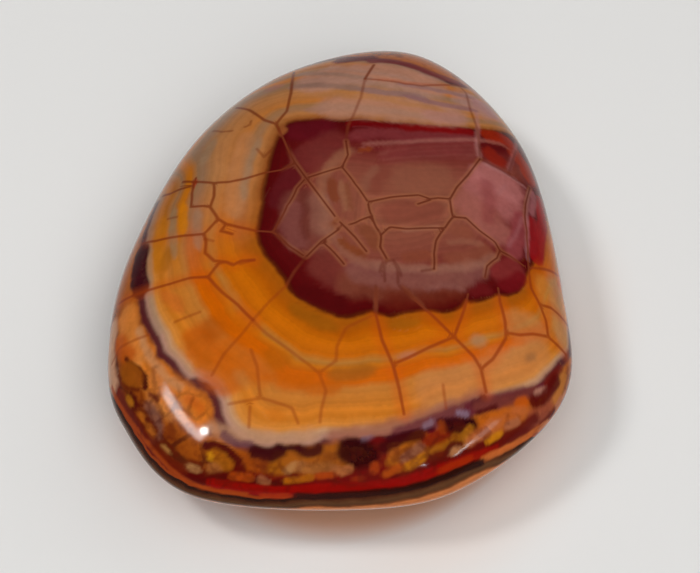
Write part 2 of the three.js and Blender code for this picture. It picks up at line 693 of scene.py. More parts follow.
# %% Signed distances
def attribute_of(mesh, name):
    """A stored vector for each corner, as rows."""
    rows = np.empty(len(mesh.vertices) * 3)
    mesh.attributes[name].data.foreach_get("vector", rows)
    return rows.reshape(-1, 3)


def store(mesh, name, kind, rows):
    """Stores one value, or one colour, for each corner."""
    attribute = mesh.attributes.new(name, kind, "POINT")
    field = "value" if kind == "FLOAT" else "color"
    attribute.data.foreach_set(field, np.ascontiguousarray(rows, dtype=np.float32).ravel())


def is_inside(on_map, edge):
    """Which places on the map lie inside a closed line there."""
    within = np.zeros(len(on_map), dtype=bool)
    x, y = on_map.T
    for (x1, y1), (x2, y2) in zip(edge[:-1], edge[1:]):
        if y1 != y2:
            crosses = (y1 > y) != (y2 > y)
            within ^= crosses & (x < x1 + (y - y1) * (x2 - x1) / (y2 - y1))
    return within


places_on_map = to_map(places)
for name, edge in (("heart", heart_edge), ("purple line", purple_edge), ("skin", shade_band_edge)):
    gap = np.linalg.norm(attribute_of(stone_mesh, "to " + name), axis=1) / MM
    within = is_inside(places_on_map, edge)
    store(stone_mesh, name, "FLOAT", np.where(within, -gap, gap))
    print("share of corners inside the", name, round(float(within.mean()), 2))
for name in ("crack", "faint crack"):
    gap = np.linalg.norm(attribute_of(stone_mesh, "to " + name), axis=1) / MM
    store(stone_mesh, name + " gap", "FLOAT", gap)
    print("furthest place from a", name, round(float(gap.max()), 1), "mm")

# %% [markdown]
# What the photograph doesn't show
#
# The far side and the underside get a net of cracks of their own. A value that is 0 on every place that
# faces the camera and 1 on those that don't tells the two kinds of place apart, with a soft change between.

# %% The hidden side
# how far a place still faces the camera where the change starts, and how long the change is
STILL_FACING, CHANGE_OF_FACING = 0.06, 0.12
facing = np.empty(len(places) * 3)
stone_mesh.vertices.foreach_get("normal", facing)
facing = facing.reshape(-1, 3)
to_camera = np.array(camera.location) - places
to_camera /= np.linalg.norm(to_camera, axis=1, keepdims=True)
turned_to_camera = (facing * to_camera).sum(axis=1)
unseen = np.clip((STILL_FACING - turned_to_camera) / CHANGE_OF_FACING, 0, 1)
store(stone_mesh, "unseen", "FLOAT", unseen)
print("share of corners that the camera doesn't see", round(float(unseen.mean()), 2))

# %% [markdown]
# Stains
#
# Iron went further into the stone at some places than at others, and left clouds, patches and pale veils.
# They follow no rule that a pattern could, so each is laid on like a brush stroke: a colour, a half
# width and a soft edge in millimetres, how strong it is, and the pixels of its middle line. Later strokes
# lie over earlier ones.

# %% The brush
# the mesh can't carry a sharper change than this, in millimetres
FINEST_EDGE = 0.3
# further than any place of the stone, in metres
FAR_AWAY = 1.0
NEARLY_NOTHING = 1e-6
FAINTEST_SEEN = 0.02
wobble = attribute_of(stone_mesh, "wobble") - 0.5
# stains, and the painted glow and shade of the lower rim, as the brush lays them on
stain_and_painted_light_colour = np.zeros((len(places), 3))
stain_and_painted_light_cover = np.zeros(len(places))


def linear(colour):
    """A colour of 0 to 255 parts, as seen on a screen, as parts of light, by the screen's own curve."""
    part = np.array(colour) / 255
    return np.where(part <= 0.04045, part / 12.92, ((part + 0.055) / 1.055) ** 2.4)


def brush(colour, half_width, soft_edge, strength, pixels, taper):
    """Lays one stroke on the corners near its middle line: most strokes are stains, and those along the
    lower rim are painted glow and shade. It narrows to a point over taper millimetres.
    """
    soft_edge = max(soft_edge, FINEST_EDGE)
    reach = (half_width + soft_edge) * MM
    line = from_map(fine_line(seen(pixels)))
    walked = np.append(0, np.cumsum(np.linalg.norm(np.diff(line, axis=0), axis=1))) / MM
    to_end = np.minimum(walked, walked[-1] - walked)
    end_share = np.clip(1 - (to_end + NEARLY_NOTHING) / max(taper, NEARLY_NOTHING), 0, 1)
    narrowed = reach * end_share**2
    moved = places + wobble * soft_edge * MM
    near = np.flatnonzero(((moved > line.min(0) - reach) & (moved < line.max(0) + reach)).all(axis=1))
    gap = np.full(len(near), FAR_AWAY)
    for line_place, less in zip(line, narrowed):
        gap = np.minimum(gap, np.linalg.norm(moved[near] - line_place, axis=1) + less)
    inward = np.clip((half_width + soft_edge - gap / MM) / soft_edge, 0, 1)
    cover = strength * inward * inward * (3 - 2 * inward)
    under = stain_and_painted_light_cover[near]
    new_share = cover / np.maximum(cover + under * (1 - cover), NEARLY_NOTHING)
    new_share = np.where(under > 0, new_share, 1)
    stain_and_painted_light_colour[near] += (linear(colour) - stain_and_painted_light_colour[near]) * new_share[:, None]
    stain_and_painted_light_cover[near] += cover * (1 - under)


def brush_on(layer, layer_strokes, taper):
    """Lays a layer's strokes on in their order: stains, and along the lower rim painted glow and shade."""
    for stain_and_painted_light in layer_strokes:
        brush(*stain_and_painted_light, taper)
    marked = (stain_and_painted_light_cover > FAINTEST_SEEN).mean()
    print(layer, "strokes", len(layer_strokes), "share of corners stained so far", round(float(marked), 2))


# %% [markdown]
# Stains in the heart
#
# The heart is dark red at its rim and mauve to brown inside, with a paler ring and fine lines under its
# top edge. Its strokes hardly narrow at their ends, because most of them are washes.

# %% Stains along the heart's rim
# millimetres over which a stroke narrows at its ends
HEART_TAPER = 0.5
HEART_RIM_STAINS = [
    # mauve and dark red along the top and the left
    ((92, 12, 22), 0.7, 0.9, 0.85, [(293, 131), (310, 131), (330, 127)]),
    ((112, 42, 38), 1.0, 1.0, 0.7, [(305, 160), (322, 148), (338, 140)]),
    ((94, 24, 28), 0.6, 0.7, 0.7, [(296, 172), (284, 186), (276, 205)]),
    ((132, 54, 56), 0.3, 0.9, 0.6, [(352, 137), (400, 135), (440, 136), (475, 139)]),
    ((136, 68, 60), 0.6, 0.8, 0.6, [(385, 155), (430, 151), (474, 150)]),
    ((106, 4, 8), 0.22, 0.35, 0.9, [(345, 124), (380, 125), (410, 127), (440, 129), (474, 132)]),
    ((122, 8, 10), 0.2, 0.5, 0.8, [(400, 127), (440, 129.5), (474, 132.5)]),
    # fine pale and dark lines under the top rim
    ((156, 92, 82), 0.05, 0.4, 0.65,
     [(360, 145), (380, 143.5), (420, 141), (460, 140), (490, 141), (505, 144)]),
    ((116, 38, 38), 0.07, 0.3, 0.6, [(372, 150), (390, 148.5), (420, 145), (460, 143.5), (478, 143.5)]),
    ((116, 40, 40), 0.06, 0.28, 0.6, [(385, 154), (420, 149.5), (460, 148), (478, 148)]),
    ((112, 36, 38), 0.06, 0.28, 0.55, [(375, 158), (400, 155), (440, 153), (476, 152)]),
    ((112, 40, 36), 0.06, 0.28, 0.5, [(372, 164), (400, 160), (440, 158), (470, 156)]),
    # the orange-red corner, and crimson down the right side
    ((150, 34, 6), 0.5, 0.5, 0.9, [(483, 134), (500, 138), (513, 145)]),
    ((150, 42, 16), 0.7, 0.6, 0.9, [(512, 150), (524, 165), (532, 182)]),
    ((138, 30, 14), 0.5, 0.6, 0.85, [(487, 150), (496, 160), (504, 163)]),
    ((158, 80, 64), 0.05, 0.2, 0.6, [(484, 141), (500, 144), (512, 151)]),
    ((164, 94, 90), 1.0, 1.3, 0.8, [(475, 185), (500, 200), (512, 210)]),
    ((158, 90, 80), 0.8, 1.2, 0.75, [(465, 200), (490, 225), (505, 238)]),
    ((170, 100, 96), 0.9, 1.0, 0.85, [(482, 172), (500, 182), (516, 194)]),
    ((130, 52, 52), 0.25, 0.8, 0.5, [(486, 180), (490, 200), (488, 222)]),
    ((138, 58, 60), 0.5, 0.6, 0.85, [(522, 215), (519, 235), (513, 256)]),
    ((146, 12, 16), 0.6, 0.35, 0.95, [(541, 200), (543, 225), (539, 248), (537, 262)]),
    ((140, 22, 26), 0.35, 0.4, 0.9, [(533, 218), (533, 255)]),
    ((160, 92, 94), 0.2, 0.4, 0.7, [(532, 190), (534, 203), (532, 216)]),
    ((108, 34, 30), 0.14, 0.2, 0.85, [(478, 219.5), (479, 220.5)]),
    ((124, 40, 38), 0.7, 0.7, 0.9, [(497, 273), (512, 268), (520, 273)]),
    ((108, 12, 18), 0.5, 0.5, 0.9, [(502, 286), (514, 284), (523, 276)]),
]
brush_on("heart rim", HEART_RIM_STAINS, HEART_TAPER)

# %% Stains in the middle of the heart
HEART_MIDDLE_STAINS = [
    # brown in the middle
    ((140, 84, 62), 1.2, 1.2, 0.5, [(405, 180), (440, 178)]),
    ((128, 62, 48), 0.8, 0.8, 0.6, [(388, 212), (410, 212), (435, 210)]),
    ((124, 60, 46), 0.3, 0.8, 0.6, [(386, 168), (377, 180), (373, 192)]),
    ((138, 86, 66), 0.12, 0.6, 0.5, [(378, 166), (367, 178), (364, 190)]),
    ((136, 58, 26), 0.15, 0.25, 0.8, [(356, 151), (365, 149.5), (373, 148.5)]),
    # lilac to brown in the left-hand fields
    ((118, 64, 52), 1.4, 1.0, 0.6, [(300, 202), (304, 222), (314, 240)]),
    ((124, 68, 62), 0.6, 0.6, 0.6, [(295, 205), (288, 228), (300, 246)]),
    ((98, 40, 32), 0.2, 0.5, 0.6, [(304, 190), (304, 215), (306, 240)]),
    ((112, 46, 38), 0.9, 0.9, 0.8, [(318, 262), (335, 274), (350, 284)]),
    # the pale ring
    ((126, 68, 46), 0.7, 1.2, 0.5, [(345, 281), (380, 287), (420, 287), (460, 281)]),
    ((130, 78, 70), 0.7, 0.9, 0.65,
     [(352, 268), (380, 276), (410, 278), (440, 278), (465, 276), (480, 268)]),
    ((138, 88, 72), 0.5, 0.8, 0.6, [(318, 195), (321, 215), (322, 232)]),
    ((152, 100, 72), 0.15, 0.7, 0.5, [(352, 150), (340, 156), (330, 166), (322, 180), (322, 195)]),
    ((150, 98, 76), 0.12, 0.7, 0.5,
     [(322, 195), (327, 215), (333, 238), (345, 252), (357, 259), (372, 265)]),
    ((152, 102, 82), 0.12, 0.7, 0.55,
     [(372, 265), (400, 267), (430, 269), (462, 267), (484, 262), (495, 254)]),
    ((122, 58, 30), 0.25, 0.4, 0.7, [(331, 178), (333, 190), (336, 202)]),
    ((126, 70, 44), 0.15, 0.35, 0.6, [(345, 182), (348, 197), (351, 212)]),
    ((150, 98, 70), 0.1, 0.35, 0.6, [(340, 180), (343, 197), (346, 212)]),
    ((122, 60, 32), 0.25, 0.4, 0.7, [(331, 221), (334, 226)]),
    ((126, 60, 26), 0.22, 0.4, 0.75, [(338, 239), (347, 246), (357, 252), (366, 255)]),
    ((124, 64, 38), 0.4, 0.5, 0.7, [(362, 226), (372, 236), (376, 248)]),
]
brush_on("heart middle", HEART_MIDDLE_STAINS, HEART_TAPER)

# %% Stains at the foot of the heart
HEART_FOOT_STAINS = [
    # stripes between the lower cracks
    ((152, 98, 82), 0.06, 0.35, 0.6, [(400, 231), (415, 229), (430, 228), (442, 227)]),
    ((130, 64, 42), 0.3, 0.5, 0.65, [(402, 257), (418, 256), (432, 254)]),
    ((134, 70, 50), 0.35, 0.5, 0.65, [(450, 229), (462, 231), (472, 235)]),
    ((134, 72, 50), 0.3, 0.7, 0.6, [(445, 257), (465, 258), (480, 253), (490, 249)]),
    ((148, 92, 70), 0.08, 0.4, 0.5, [(445, 243), (465, 241), (485, 245)]),
    ((110, 44, 26), 0.12, 0.15, 0.9, [(464, 249.5), (465.5, 250)]),
    # the dark foot of the heart
    ((78, 6, 8), 0.5, 0.7, 0.9, [(300, 290), (320, 298), (345, 307)]),
    ((100, 30, 16), 0.2, 1.2, 0.6, [(388, 300), (410, 301), (440, 298), (462, 293)]),
    ((100, 18, 20), 0.3, 0.5, 0.8, [(470, 293), (482, 289), (492, 292)]),
    ((132, 80, 72), 0.06, 0.4, 0.5, [(424, 291), (440, 285), (455, 286), (468, 292)]),
    ((128, 66, 42), 0.03, 0.22, 0.7, [(377, 285), (376, 300), (375, 314)]),
    ((124, 60, 36), 0.03, 0.2, 0.6, [(400, 284), (415, 298), (428, 310)]),
    # cracks that look pale through the surface
    ((170, 112, 106), 0.08, 0.25, 0.6, [(474, 100), (478, 125), (477, 145), (480, 160)]),
    ((168, 110, 108), 0.06, 0.25, 0.65, [(480, 162), (495, 169), (512, 178), (527, 189)]),
    ((164, 100, 98), 0.1, 0.3, 0.5, [(517, 143), (513, 158), (508, 172)]),
    ((164, 106, 108), 0.08, 0.3, 0.55, [(529, 190), (527, 210), (528, 235), (528, 262)]),
    ((156, 92, 94), 0.06, 0.3, 0.5, [(524, 216), (516, 235), (508, 249)]),
    ((160, 100, 98), 0.05, 0.25, 0.5, [(497, 196), (502, 190), (507, 184)]),
]
brush_on("heart foot", HEART_FOOT_STAINS, HEART_TAPER)

# %% [markdown]
# Stains in the bands
#
# The bands follow the heart's edge by a rule, further below. What doesn't follow it is brushed on: a rose
# wash at the top, olive and deep orange clouds, and grey stripes where the bands crowd together. These
# strokes end in a point, as a stripe in agate does.

# %% Clouds in the bands
BAND_TAPER = 1.5
BAND_CLOUD_STAINS = [
    # a rose wash along the top, and an orange one down the lower left
    ((180, 132, 116), 1.3, 1.4, 0.7, [(305, 86), (330, 76), (370, 74), (410, 80), (440, 90)]),
    ((174, 126, 108), 0.9, 1.2, 0.65, [(320, 106), (350, 107), (390, 109), (430, 113), (465, 117)]),
    ((184, 122, 78), 0.5, 0.8, 0.6, [(250, 130), (240, 160), (235, 190), (232, 220)]),
    ((148, 80, 38), 0.35, 0.35, 0.9, [(282, 123), (283, 130), (280, 138)]),
    ((178, 132, 124), 0.9, 1.3, 0.65, [(455, 95), (475, 104), (494, 118)]),
    ((188, 84, 8), 0.9, 1.2, 0.75, [(192, 330), (206, 352), (218, 372), (236, 388)]),
    ((192, 88, 4), 0.7, 1.0, 0.7, [(226, 336), (238, 352), (252, 368), (270, 380)]),
    # clouds of olive and deep orange under the heart
    ((166, 86, 6), 0.5, 1.0, 0.6, [(262, 352), (275, 358), (292, 364)]),
    ((198, 94, 2), 0.6, 0.8, 0.6, [(235, 310), (250, 325), (262, 335)]),
    ((188, 86, 0), 0.4, 0.7, 0.7, [(262, 375), (285, 382), (320, 387), (345, 386)]),
    ((148, 82, 8), 0.3, 0.6, 0.75, [(285, 303), (303, 314), (322, 324), (342, 330)]),
    ((156, 88, 12), 0.25, 0.5, 0.65, [(385, 325), (405, 324), (425, 322)]),
    ((170, 78, 8), 0.6, 1.0, 0.7, [(205, 318), (212, 328), (222, 340)]),
    ((154, 88, 22), 0.3, 0.7, 0.7, [(324, 374), (345, 375), (365, 371), (379, 367)]),
    ((172, 122, 98), 0.12, 0.4, 0.7, [(392, 358), (405, 356), (422, 351)]),
    ((176, 112, 52), 0.3, 0.7, 0.5, [(232, 366), (242, 380), (248, 392)]),
    ((192, 104, 18), 0.3, 0.6, 0.6, [(262, 408), (275, 414), (288, 420)]),
    ((120, 50, 10), 0.14, 0.2, 0.9, [(424.5, 340), (425.5, 340.5)]),
    ((140, 72, 34), 0.14, 0.2, 0.8, [(277.5, 101), (278.5, 101.5)]),
    # mottles on the right
    ((190, 124, 74), 1.0, 1.4, 0.5, [(420, 396), (450, 388), (480, 378), (512, 366), (545, 350)]),
    ((168, 120, 82), 0.35, 0.8, 0.75, [(468, 343), (478, 341), (490, 341)]),
    ((150, 98, 56), 0.25, 0.6, 0.75, [(522, 361), (532, 357), (539, 353)]),
    ((170, 118, 66), 0.3, 0.6, 0.5, [(505, 345), (518, 350)]),
    ((186, 132, 84), 0.5, 0.9, 0.7, [(550, 272), (556, 290), (558, 312), (562, 338), (563, 352)]),
    ((182, 120, 66), 0.8, 1.1, 0.65, [(505, 318), (514, 322), (530, 328), (546, 330)]),
    ((204, 132, 56), 0.7, 0.9, 0.5, [(540, 275), (548, 300), (552, 330)]),
]
brush_on("band clouds", BAND_CLOUD_STAINS, BAND_TAPER)

# %% Stripes in the bands
BAND_STRIPE_STAINS = [
    # grey and rose stripes along the top
    ((170, 118, 114), 0.6, 0.9, 0.75, [(470, 98), (485, 108), (500, 122)]),
    ((172, 118, 108), 0.5, 0.8, 0.5, [(420, 112), (445, 117), (468, 121)]),
    ((146, 108, 100), 0.26, 0.35, 0.9,
     [(350, 88), (366, 90), (385, 93), (400, 94), (415, 96), (432, 100)]),
    ((144, 100, 98), 0.2, 0.3, 0.85,
     [(398, 95), (415, 98), (430, 102), (445, 105), (462, 108), (482, 113)]),
    ((150, 108, 102), 0.16, 0.3, 0.8, [(390, 84), (418, 87), (440, 91), (460, 95), (478, 100)]),
    ((148, 110, 94), 0.26, 0.35, 0.9, [(284, 89), (300, 86), (318, 85), (335, 86), (352, 88), (370, 90)]),
    ((154, 116, 98), 0.22, 0.35, 0.85, [(290, 78), (304, 74), (335, 74), (356, 77), (376, 79)]),
    ((178, 118, 72), 0.15, 0.4, 0.7, [(300, 95), (330, 94), (358, 98), (400, 103), (450, 112)]),
    ((156, 112, 92), 0.15, 0.4, 0.7, [(298, 110), (315, 110), (335, 110)]),
    ((158, 98, 80), 0.3, 0.5, 0.7, [(260, 93), (274, 88), (287, 84)]),
    ((182, 102, 72), 0.07, 0.25, 0.7, [(366, 80), (385, 80), (405, 83), (430, 85), (455, 86)]),
    # grey and orange stripes down the left
    ((150, 118, 90), 0.25, 0.5, 0.7, [(201, 168), (207, 153), (217, 136)]),
    ((156, 122, 92), 0.1, 0.5, 0.6, [(243, 205), (244, 185), (250, 160), (264, 134)]),
    ((152, 118, 92), 0.2, 0.5, 0.6, [(198, 205), (197, 225), (199, 255)]),
    ((150, 118, 84), 0.2, 0.4, 0.7, [(175, 205), (172, 228), (174, 262)]),
    ((204, 118, 8), 0.25, 0.4, 0.85, [(183, 200), (183, 220), (184, 238)]),
    ((192, 112, 16), 0.4, 0.6, 0.7, [(162, 215), (159, 245), (157, 275)]),
    ((160, 92, 10), 0.3, 0.5, 0.6, [(168, 245), (166, 262), (165, 275)]),
    ((200, 100, 34), 0.3, 0.6, 0.6, [(158, 292), (172, 300), (185, 315)]),
    ((176, 36, 4), 0.1, 0.15, 0.9, [(196, 176), (195, 184), (193, 192)]),
    ((176, 50, 8), 0.06, 0.12, 0.8, [(186, 184), (195, 182), (204, 181)]),
]
brush_on("band stripes", BAND_STRIPE_STAINS, BAND_TAPER)

# %% [markdown]
# Stains along the purple line
#
# The purple line is thin and even at the left, and a broad, fuzzy band with lilac flecks at the lower
# right. The strokes thicken it there, and lay the pale glow beside it.

# %% Stains along the purple line
NO_TAPER = 0.0
PURPLE_STAINS = [
    # thicker at the left, and a glow on the side of the heart
    ((160, 128, 102), 0.1, 0.4, 0.5, [(150, 248), (150, 270), (150, 292), (153, 312), (160, 332)]),
    ((62, 8, 18), 0.75, 0.4, 0.95, [(142, 252), (139, 265), (138, 279), (141, 289)]),
    ((176, 128, 96), 0.15, 0.9, 0.7,
     [(212, 429), (228, 434), (244, 436), (262, 438), (285, 440), (312, 436)]),
    ((104, 60, 66), 0.2, 0.4, 0.8, [(224, 436), (238, 444), (250, 445)]),
    # a broken, fuzzy band at the lower right
    ((150, 86, 66), 0.3, 0.8, 0.75,
     [(335, 437), (365, 434), (395, 427), (430, 415), (462, 404), (482, 396)]),
    ((104, 46, 50), 0.4, 0.5, 0.85,
     [(400, 433), (425, 425), (450, 415), (475, 406), (498, 399), (522, 394)]),
    ((96, 30, 40), 0.35, 0.35, 0.85, [(470, 409), (490, 404), (512, 399), (535, 393), (550, 386)]),
    ((62, 8, 22), 0.14, 0.2, 0.95, [(345, 444), (370, 442), (392, 438), (410, 433), (432, 430)]),
    ((60, 8, 20), 0.18, 0.25, 0.9, [(440, 422), (456, 421), (470, 421)]),
    ((64, 12, 24), 0.15, 0.2, 0.85, [(474, 404), (480, 401), (484, 398)]),
    ((128, 100, 114), 0.12, 0.3, 0.7, [(425, 426), (431, 422)]),
    ((130, 104, 122), 0.14, 0.3, 0.75, [(459, 413), (466, 414)]),
    ((124, 96, 108), 0.1, 0.3, 0.7, [(364, 440), (371, 438)]),
    ((96, 22, 28), 0.5, 0.5, 0.9, [(340, 61), (355, 59), (370, 58)]),
    ((116, 46, 48), 0.3, 0.4, 0.85, [(372, 61), (395, 62), (412, 66), (430, 73), (446, 79), (460, 84)]),
    ((176, 118, 100), 0.6, 0.7, 0.7, [(466, 82), (480, 92), (492, 102)]),
]
brush_on("purple line", PURPLE_STAINS, NO_TAPER)

# %% [markdown]
# Stains in the crust
#
# The crust is the oldest layer. It is amber with round bubbles of clearer stone, each with a dark outline,
# and dark red where iron gathered under them.

# %% The crust's ground
CRUST_GROUND_STAINS = [
    # amber ground with clouds
    ((208, 156, 122), 0.5, 0.75, 0.85, [(113, 330), (111, 350), (111, 372), (113, 384)]),
    ((214, 126, 52), 0.75, 0.8, 0.88, [(127, 316), (128, 330), (135, 345), (143, 358)]),
    ((214, 130, 58), 0.5, 0.7, 0.85, [(143, 366), (150, 382), (160, 398), (172, 412)]),
    ((218, 120, 32), 0.8, 0.9, 0.85, [(150, 374), (166, 387), (184, 399), (196, 412)]),
    ((186, 138, 98), 0.12, 0.5, 0.55, [(139, 330), (147, 352), (156, 366), (168, 379), (180, 387)]),
    ((190, 84, 16), 0.4, 0.75, 0.8, [(121, 342), (121, 348), (128, 356)]),
    ((128, 82, 66), 0.3, 0.68, 0.7, [(149, 407), (153, 416), (157, 427), (155, 436)]),
    ((176, 104, 50), 0.3, 0.75, 0.5, [(152, 378), (168, 396), (184, 416)]),
    ((186, 78, 14), 0.15, 0.68, 0.6, [(190, 400), (196, 404), (200, 408)]),
    ((150, 66, 6), 0.7, 0.75, 0.9, [(240, 463), (256, 468), (270, 474)]),
    ((152, 84, 6), 0.6, 0.75, 0.9, [(280, 466), (278, 476)]),
    ((154, 80, 10), 0.7, 0.75, 0.9, [(288, 458), (305, 461), (325, 459), (336, 455)]),
    ((160, 84, 6), 0.7, 0.75, 0.9, [(398, 466), (410, 455), (420, 446)]),
    ((152, 86, 10), 0.6, 0.68, 0.9, [(436, 452), (446, 446), (456, 440)]),
    ((184, 90, 18), 0.45, 0.55, 0.9, [(484, 427), (499, 418), (514, 410), (527, 406)]),
    ((176, 90, 36), 0.5, 0.75, 0.8, [(495, 430), (512, 420), (527, 413)]),
    ((150, 70, 46), 0.5, 0.75, 0.8, [(535, 418), (546, 408), (555, 397)]),
    ((190, 116, 46), 0.3, 0.68, 0.8, [(557, 398), (561, 388), (563, 378)]),
    # the purple band again, wide and fuzzy where the amber comes near it
    ((112, 50, 42), 0.25, 0.6, 0.85, [(478, 407), (495, 403), (510, 400), (525, 396), (534, 393)]),
    ((108, 22, 12), 0.2, 0.45, 0.85, [(547, 384), (553, 377), (560, 369)]),
    ((174, 118, 98), 0.18, 0.3, 0.9, [(537, 393), (545, 390)]),
    ((72, 10, 10), 0.1, 0.3, 0.85, [(478, 413), (486, 410), (495, 407)]),
    # dark red under the amber
    ((108, 6, 3), 0.65, 0.7, 0.93,
     [(232, 481), (262, 486), (300, 486), (340, 482), (370, 474), (388, 478)]),
    ((84, 5, 4), 0.35, 0.42, 0.95, [(190, 474), (200, 478), (213, 477), (228, 476), (239, 470)]),
    ((76, 5, 4), 0.25, 0.42, 0.9, [(250, 478), (258, 485), (272, 486), (280, 484)]),
    ((104, 6, 4), 0.5, 0.59, 0.92, [(352, 476), (372, 470), (378, 456), (378, 446)]),
    ((92, 6, 5), 0.35, 0.51, 0.92, [(428, 462), (442, 458), (452, 454)]),
    ((96, 8, 4), 0.2, 0.42, 0.92,
     [(392, 480), (412, 473), (428, 468), (445, 462), (460, 456), (480, 447)]),
    ((96, 14, 8), 0.22, 0.51, 0.9, [(480, 447), (496, 441), (510, 435), (524, 427), (535, 419)]),
    ((122, 10, 2), 0.3, 0.6, 0.85, [(428, 441), (440, 435), (446, 432)]),
    ((86, 10, 6), 0.35, 0.51, 0.92, [(535, 401), (543, 398), (550, 390), (556, 381)]),
    # burgundy patches below the purple line
    ((58, 5, 8), 0.35, 0.5, 0.95, [(256, 452), (264, 454), (272, 455), (279, 451)]),
    ((50, 6, 12), 0.1, 0.26, 0.9, [(280, 448), (290, 447), (299, 449)]),
    ((58, 6, 10), 0.18, 0.5, 0.92, [(300, 450), (307, 453), (314, 452), (319, 449)]),
    ((48, 3, 4), 0.7, 0.7, 0.96, [(350, 451), (358, 456), (367, 455)]),
    ((60, 4, 6), 0.25, 0.42, 0.92, [(384, 448), (392, 443), (404, 438), (420, 436)]),
    ((48, 3, 6), 0.35, 0.42, 0.95, [(450, 426), (460, 427), (472, 425)]),
    ((74, 6, 5), 0.25, 0.31, 0.95, [(206, 446), (215, 446), (224, 449), (232, 455), (237, 461)]),
    ((66, 8, 4), 0.08, 0.2, 0.9, [(126, 359), (131, 365)]),
    ((66, 7, 4), 0.18, 0.24, 0.96, [(131, 365), (139, 370), (144, 377), (145, 387)]),
]
brush_on("crust ground", CRUST_GROUND_STAINS, NO_TAPER)

# %% Bubbles in the crust
BUBBLE_STAINS = [
    # bubbles, each with a dark outline and a paler fill
    ((150, 76, 12), 0.8, 0.51, 0.9, [(127, 373), (133, 380)]),
    ((96, 28, 6), 0.07, 0.26, 0.85, [(119, 376), (121, 383), (128, 389), (138, 390)]),
    ((172, 102, 20), 0.25, 0.34, 0.9, [(129, 399), (131, 404)]),
    ((76, 14, 6), 0.09, 0.22, 0.95, [(131, 394), (135, 399), (136, 405), (132, 409)]),
    ((84, 18, 6), 0.1, 0.22, 0.9, [(136, 406), (141, 406)]),
    ((178, 94, 22), 0.3, 0.34, 0.9, [(140, 413), (144, 418)]),
    ((92, 28, 8), 0.06, 0.2, 0.85, [(133, 411), (140, 409), (147, 414), (149, 423)]),
    ((182, 98, 26), 0.3, 0.34, 0.9, [(149, 427), (153, 433)]),
    ((98, 30, 8), 0.06, 0.2, 0.85, [(146, 419), (153, 423), (157, 431), (155, 438)]),
    ((162, 110, 54), 0.16, 0.34, 0.8, [(164, 447), (168, 451)]),
    ((92, 26, 6), 0.07, 0.22, 0.9, [(157, 442), (165, 442), (171, 447), (176, 455)]),
    ((176, 124, 72), 0.22, 0.34, 0.85, [(189, 467), (196, 469)]),
    ((100, 32, 8), 0.07, 0.2, 0.88, [(184, 466), (190, 461), (199, 463), (204, 470), (207, 474)]),
    ((160, 96, 44), 0.25, 0.45, 0.75, [(212, 468), (218, 467)]),
    ((158, 88, 12), 0.35, 0.42, 0.85, [(214, 455), (222, 459), (227, 465)]),
    # painted glint: a small bright golden reflection inside the stone
    ((204, 136, 18), 0.1, 0.2, 0.95, [(210, 455), (210.5, 458.5)]),
    ((96, 34, 20), 0.1, 0.26, 0.9, [(150, 394), (154, 396), (157, 399)]),
    ((168, 66, 8), 0.22, 0.34, 0.9, [(233, 477), (240, 476), (249, 478)]),
    ((154, 88, 52), 0.18, 0.34, 0.9, [(261, 480), (266, 483)]),
    ((172, 118, 66), 0.15, 0.42, 0.85, [(288, 470), (294, 466), (300, 467)]),
    ((166, 100, 42), 0.2, 0.45, 0.75, [(300, 467), (312, 470), (322, 468), (330, 467)]),
    ((180, 106, 54), 0.16, 0.4, 0.8, [(334, 469), (342, 471), (349, 469)]),
    ((170, 92, 4), 0.15, 0.31, 0.9, [(287, 481), (297, 480), (305, 478), (311, 477)]),
    ((166, 62, 6), 0.16, 0.34, 0.9, [(319, 476), (331, 475)]),
    ((140, 40, 8), 0.1, 0.26, 0.8, [(354, 479), (362, 478)]),
    ((160, 56, 6), 0.22, 0.34, 0.9, [(375, 466), (374, 470)]),
    ((164, 68, 6), 0.15, 0.34, 0.9, [(386, 474), (394, 470), (402, 466)]),
    ((132, 80, 56), 0.2, 0.42, 0.85, [(404, 459), (412, 453), (420, 448)]),
    ((184, 108, 6), 0.2, 0.34, 0.9, [(408, 467), (416, 463), (422, 458)]),
    ((136, 52, 6), 0.15, 0.34, 0.8, [(441, 424), (443, 430)]),
    ((168, 102, 18), 0.2, 0.34, 0.92, [(463, 438), (467, 432), (470, 429)]),
    ((172, 112, 68), 0.25, 0.34, 0.9, [(452, 451), (456, 449)]),
    ((80, 14, 8), 0.08, 0.2, 0.9, [(447, 452), (449, 446), (455, 443), (461, 444)]),
    ((186, 102, 54), 0.18, 0.6, 0.6, [(470, 441), (482, 434), (494, 425)]),
    ((190, 82, 6), 0.25, 0.45, 0.8, [(519, 403), (525, 402)]),
    ((184, 96, 46), 0.18, 0.45, 0.7, [(516, 411), (523, 411)]),
    ((164, 96, 62), 0.2, 0.34, 0.85, [(508, 426), (517, 422)]),
    ((192, 118, 16), 0.14, 0.31, 0.9, [(488, 441), (494, 437), (500, 434)]),
    ((190, 116, 84), 0.12, 0.34, 0.8, [(557, 405), (560, 400)]),
]
brush_on("bubbles", BUBBLE_STAINS, NO_TAPER)
